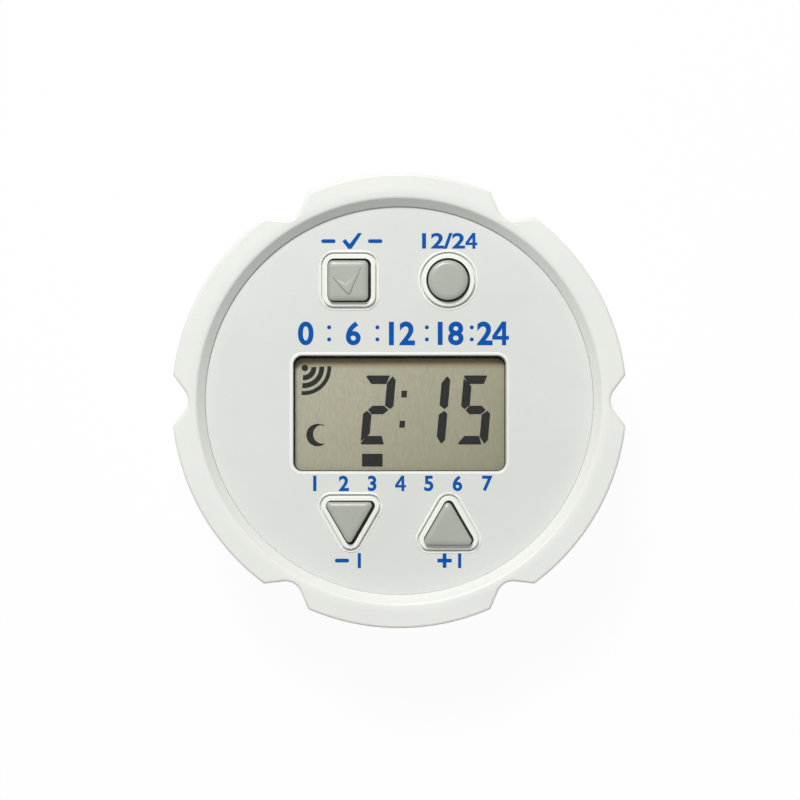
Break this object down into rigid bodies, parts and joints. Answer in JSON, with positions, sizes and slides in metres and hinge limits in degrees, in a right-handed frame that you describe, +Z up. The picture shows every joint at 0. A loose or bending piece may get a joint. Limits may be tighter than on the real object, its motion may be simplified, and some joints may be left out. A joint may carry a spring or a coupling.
{
  "type": "timer bottle cap",
  "caption": "Round scalloped screw cap for a medicine bottle with an inset face that carries a small clock display and sprung keys.",
  "frame": {"origin": "centre of the skirt's foot, on the surface that the cap stands on", "axes": "+Z up out of the face along the cap's axis, +Y towards the top edge of the display, +X to its right"},
  "size_m": [0.0596, 0.06, 0.025],
  "materials": {
    "shell_white": "satin moulded white plastic",
    "face_pale": "satin pale plastic with blue printed marks",
    "clear_lens": "clear acrylic window",
    "display_film": "greenish grey display film",
    "display_glass": "display glass",
    "silver_film": "silver backing film",
    "holder_white": "plain white moulding",
    "strip_rubber": "layered contact rubber",
    "board_green": "green solder mask",
    "chip_resin": "black potting resin",
    "steel": "bright steel",
    "ceramic": "tan ceramic",
    "key_grey": "soft grey moulded keys",
    "plunger_grey": "grey moulded plastic",
    "dome_rubber": "translucent silicone",
    "carbon": "carbon-loaded rubber",
    "brass": "thin brass",
    "red_wire": "red insulation",
    "black_wire": "black insulation",
    "foam_white": "closed-cell white foam",
    "black_rubber": "black rubber"
  },
  "bodies": {
    "cap": {"cap_shell": "shell_white", "face_plate": "face_pale", "display_lens": "clear_lens", "lcd_front_polariser": "display_film", "lcd_glass": "display_glass", "lcd_reflector": "silver_film", "lcd_holder": "holder_white", "zebra_strip_upper": "strip_rubber", "zebra_strip_lower": "strip_rubber", "circuit_board": "board_green", "controller_chip": "chip_resin", "timing_crystal": "steel", "coin_cell": "steel", "negative_contact": "steel", "positive_contact": "steel", "plunger_spring": "steel", "buzzer_disc": "brass", "buzzer_lead_red": "red_wire", "buzzer_lead_black": "black_wire", "seal_liner": "foam_white", "check_dome": "dome_rubber", "mode_dome": "dome_rubber", "down_dome": "dome_rubber", "up_dome": "dome_rubber", "chip_capacitor_1": "ceramic", "chip_capacitor_2": "ceramic", "chip_capacitor_3": "ceramic", "board_screw_1": "steel", "case_screw_1": "steel", "board_screw_2": "steel", "case_screw_2": "steel", "board_screw_3": "steel", "case_screw_3": "steel", "board_screw_4": "steel", "case_screw_4": "steel"},
    "plunger": {"opening_plunger": "plunger_grey", "plunger_contact_pill": "carbon"},
    "battery_door": {"battery_cover": "shell_white", "cover_seal": "black_rubber"},
    "check_key": {"check_button": "key_grey", "check_contact_pill": "carbon"},
    "mode_key": {"mode_button": "key_grey", "mode_contact_pill": "carbon"},
    "down_key": {"down_button": "key_grey", "down_contact_pill": "carbon"},
    "up_key": {"up_button": "key_grey", "up_contact_pill": "carbon"}
  },
  "joints": [
    {"name": "check_press", "type": "slide", "parent": "cap", "child": "check_key", "axis": [0, 0, -1], "range_m": [0, 0.0008], "stiffness_N_per_m": 300, "springref_m": -0.001, "deforming": ["check_dome"]},
    {"name": "mode_press", "type": "slide", "parent": "cap", "child": "mode_key", "axis": [0, 0, -1], "range_m": [0, 0.0008], "stiffness_N_per_m": 300, "springref_m": -0.001, "deforming": ["mode_dome"]},
    {"name": "down_press", "type": "slide", "parent": "cap", "child": "down_key", "axis": [0, 0, -1], "range_m": [0, 0.0008], "stiffness_N_per_m": 300, "springref_m": -0.001, "deforming": ["down_dome"]},
    {"name": "up_press", "type": "slide", "parent": "cap", "child": "up_key", "axis": [0, 0, -1], "range_m": [0, 0.0008], "stiffness_N_per_m": 300, "springref_m": -0.001, "deforming": ["up_dome"]},
    {"name": "plunger_slide", "type": "slide", "parent": "cap", "child": "plunger", "axis": [0, 0, 1], "range_m": [0, 0.0013], "stiffness_N_per_m": 200, "springref_m": -0.001, "deforming": ["plunger_spring"]},
    {"name": "battery_door_turn", "type": "hinge", "parent": "cap", "child": "battery_door", "pos_m": [0, 0, 0.0115], "axis": [0, 0, -1], "range_deg": [0, 60]}
  ]
}
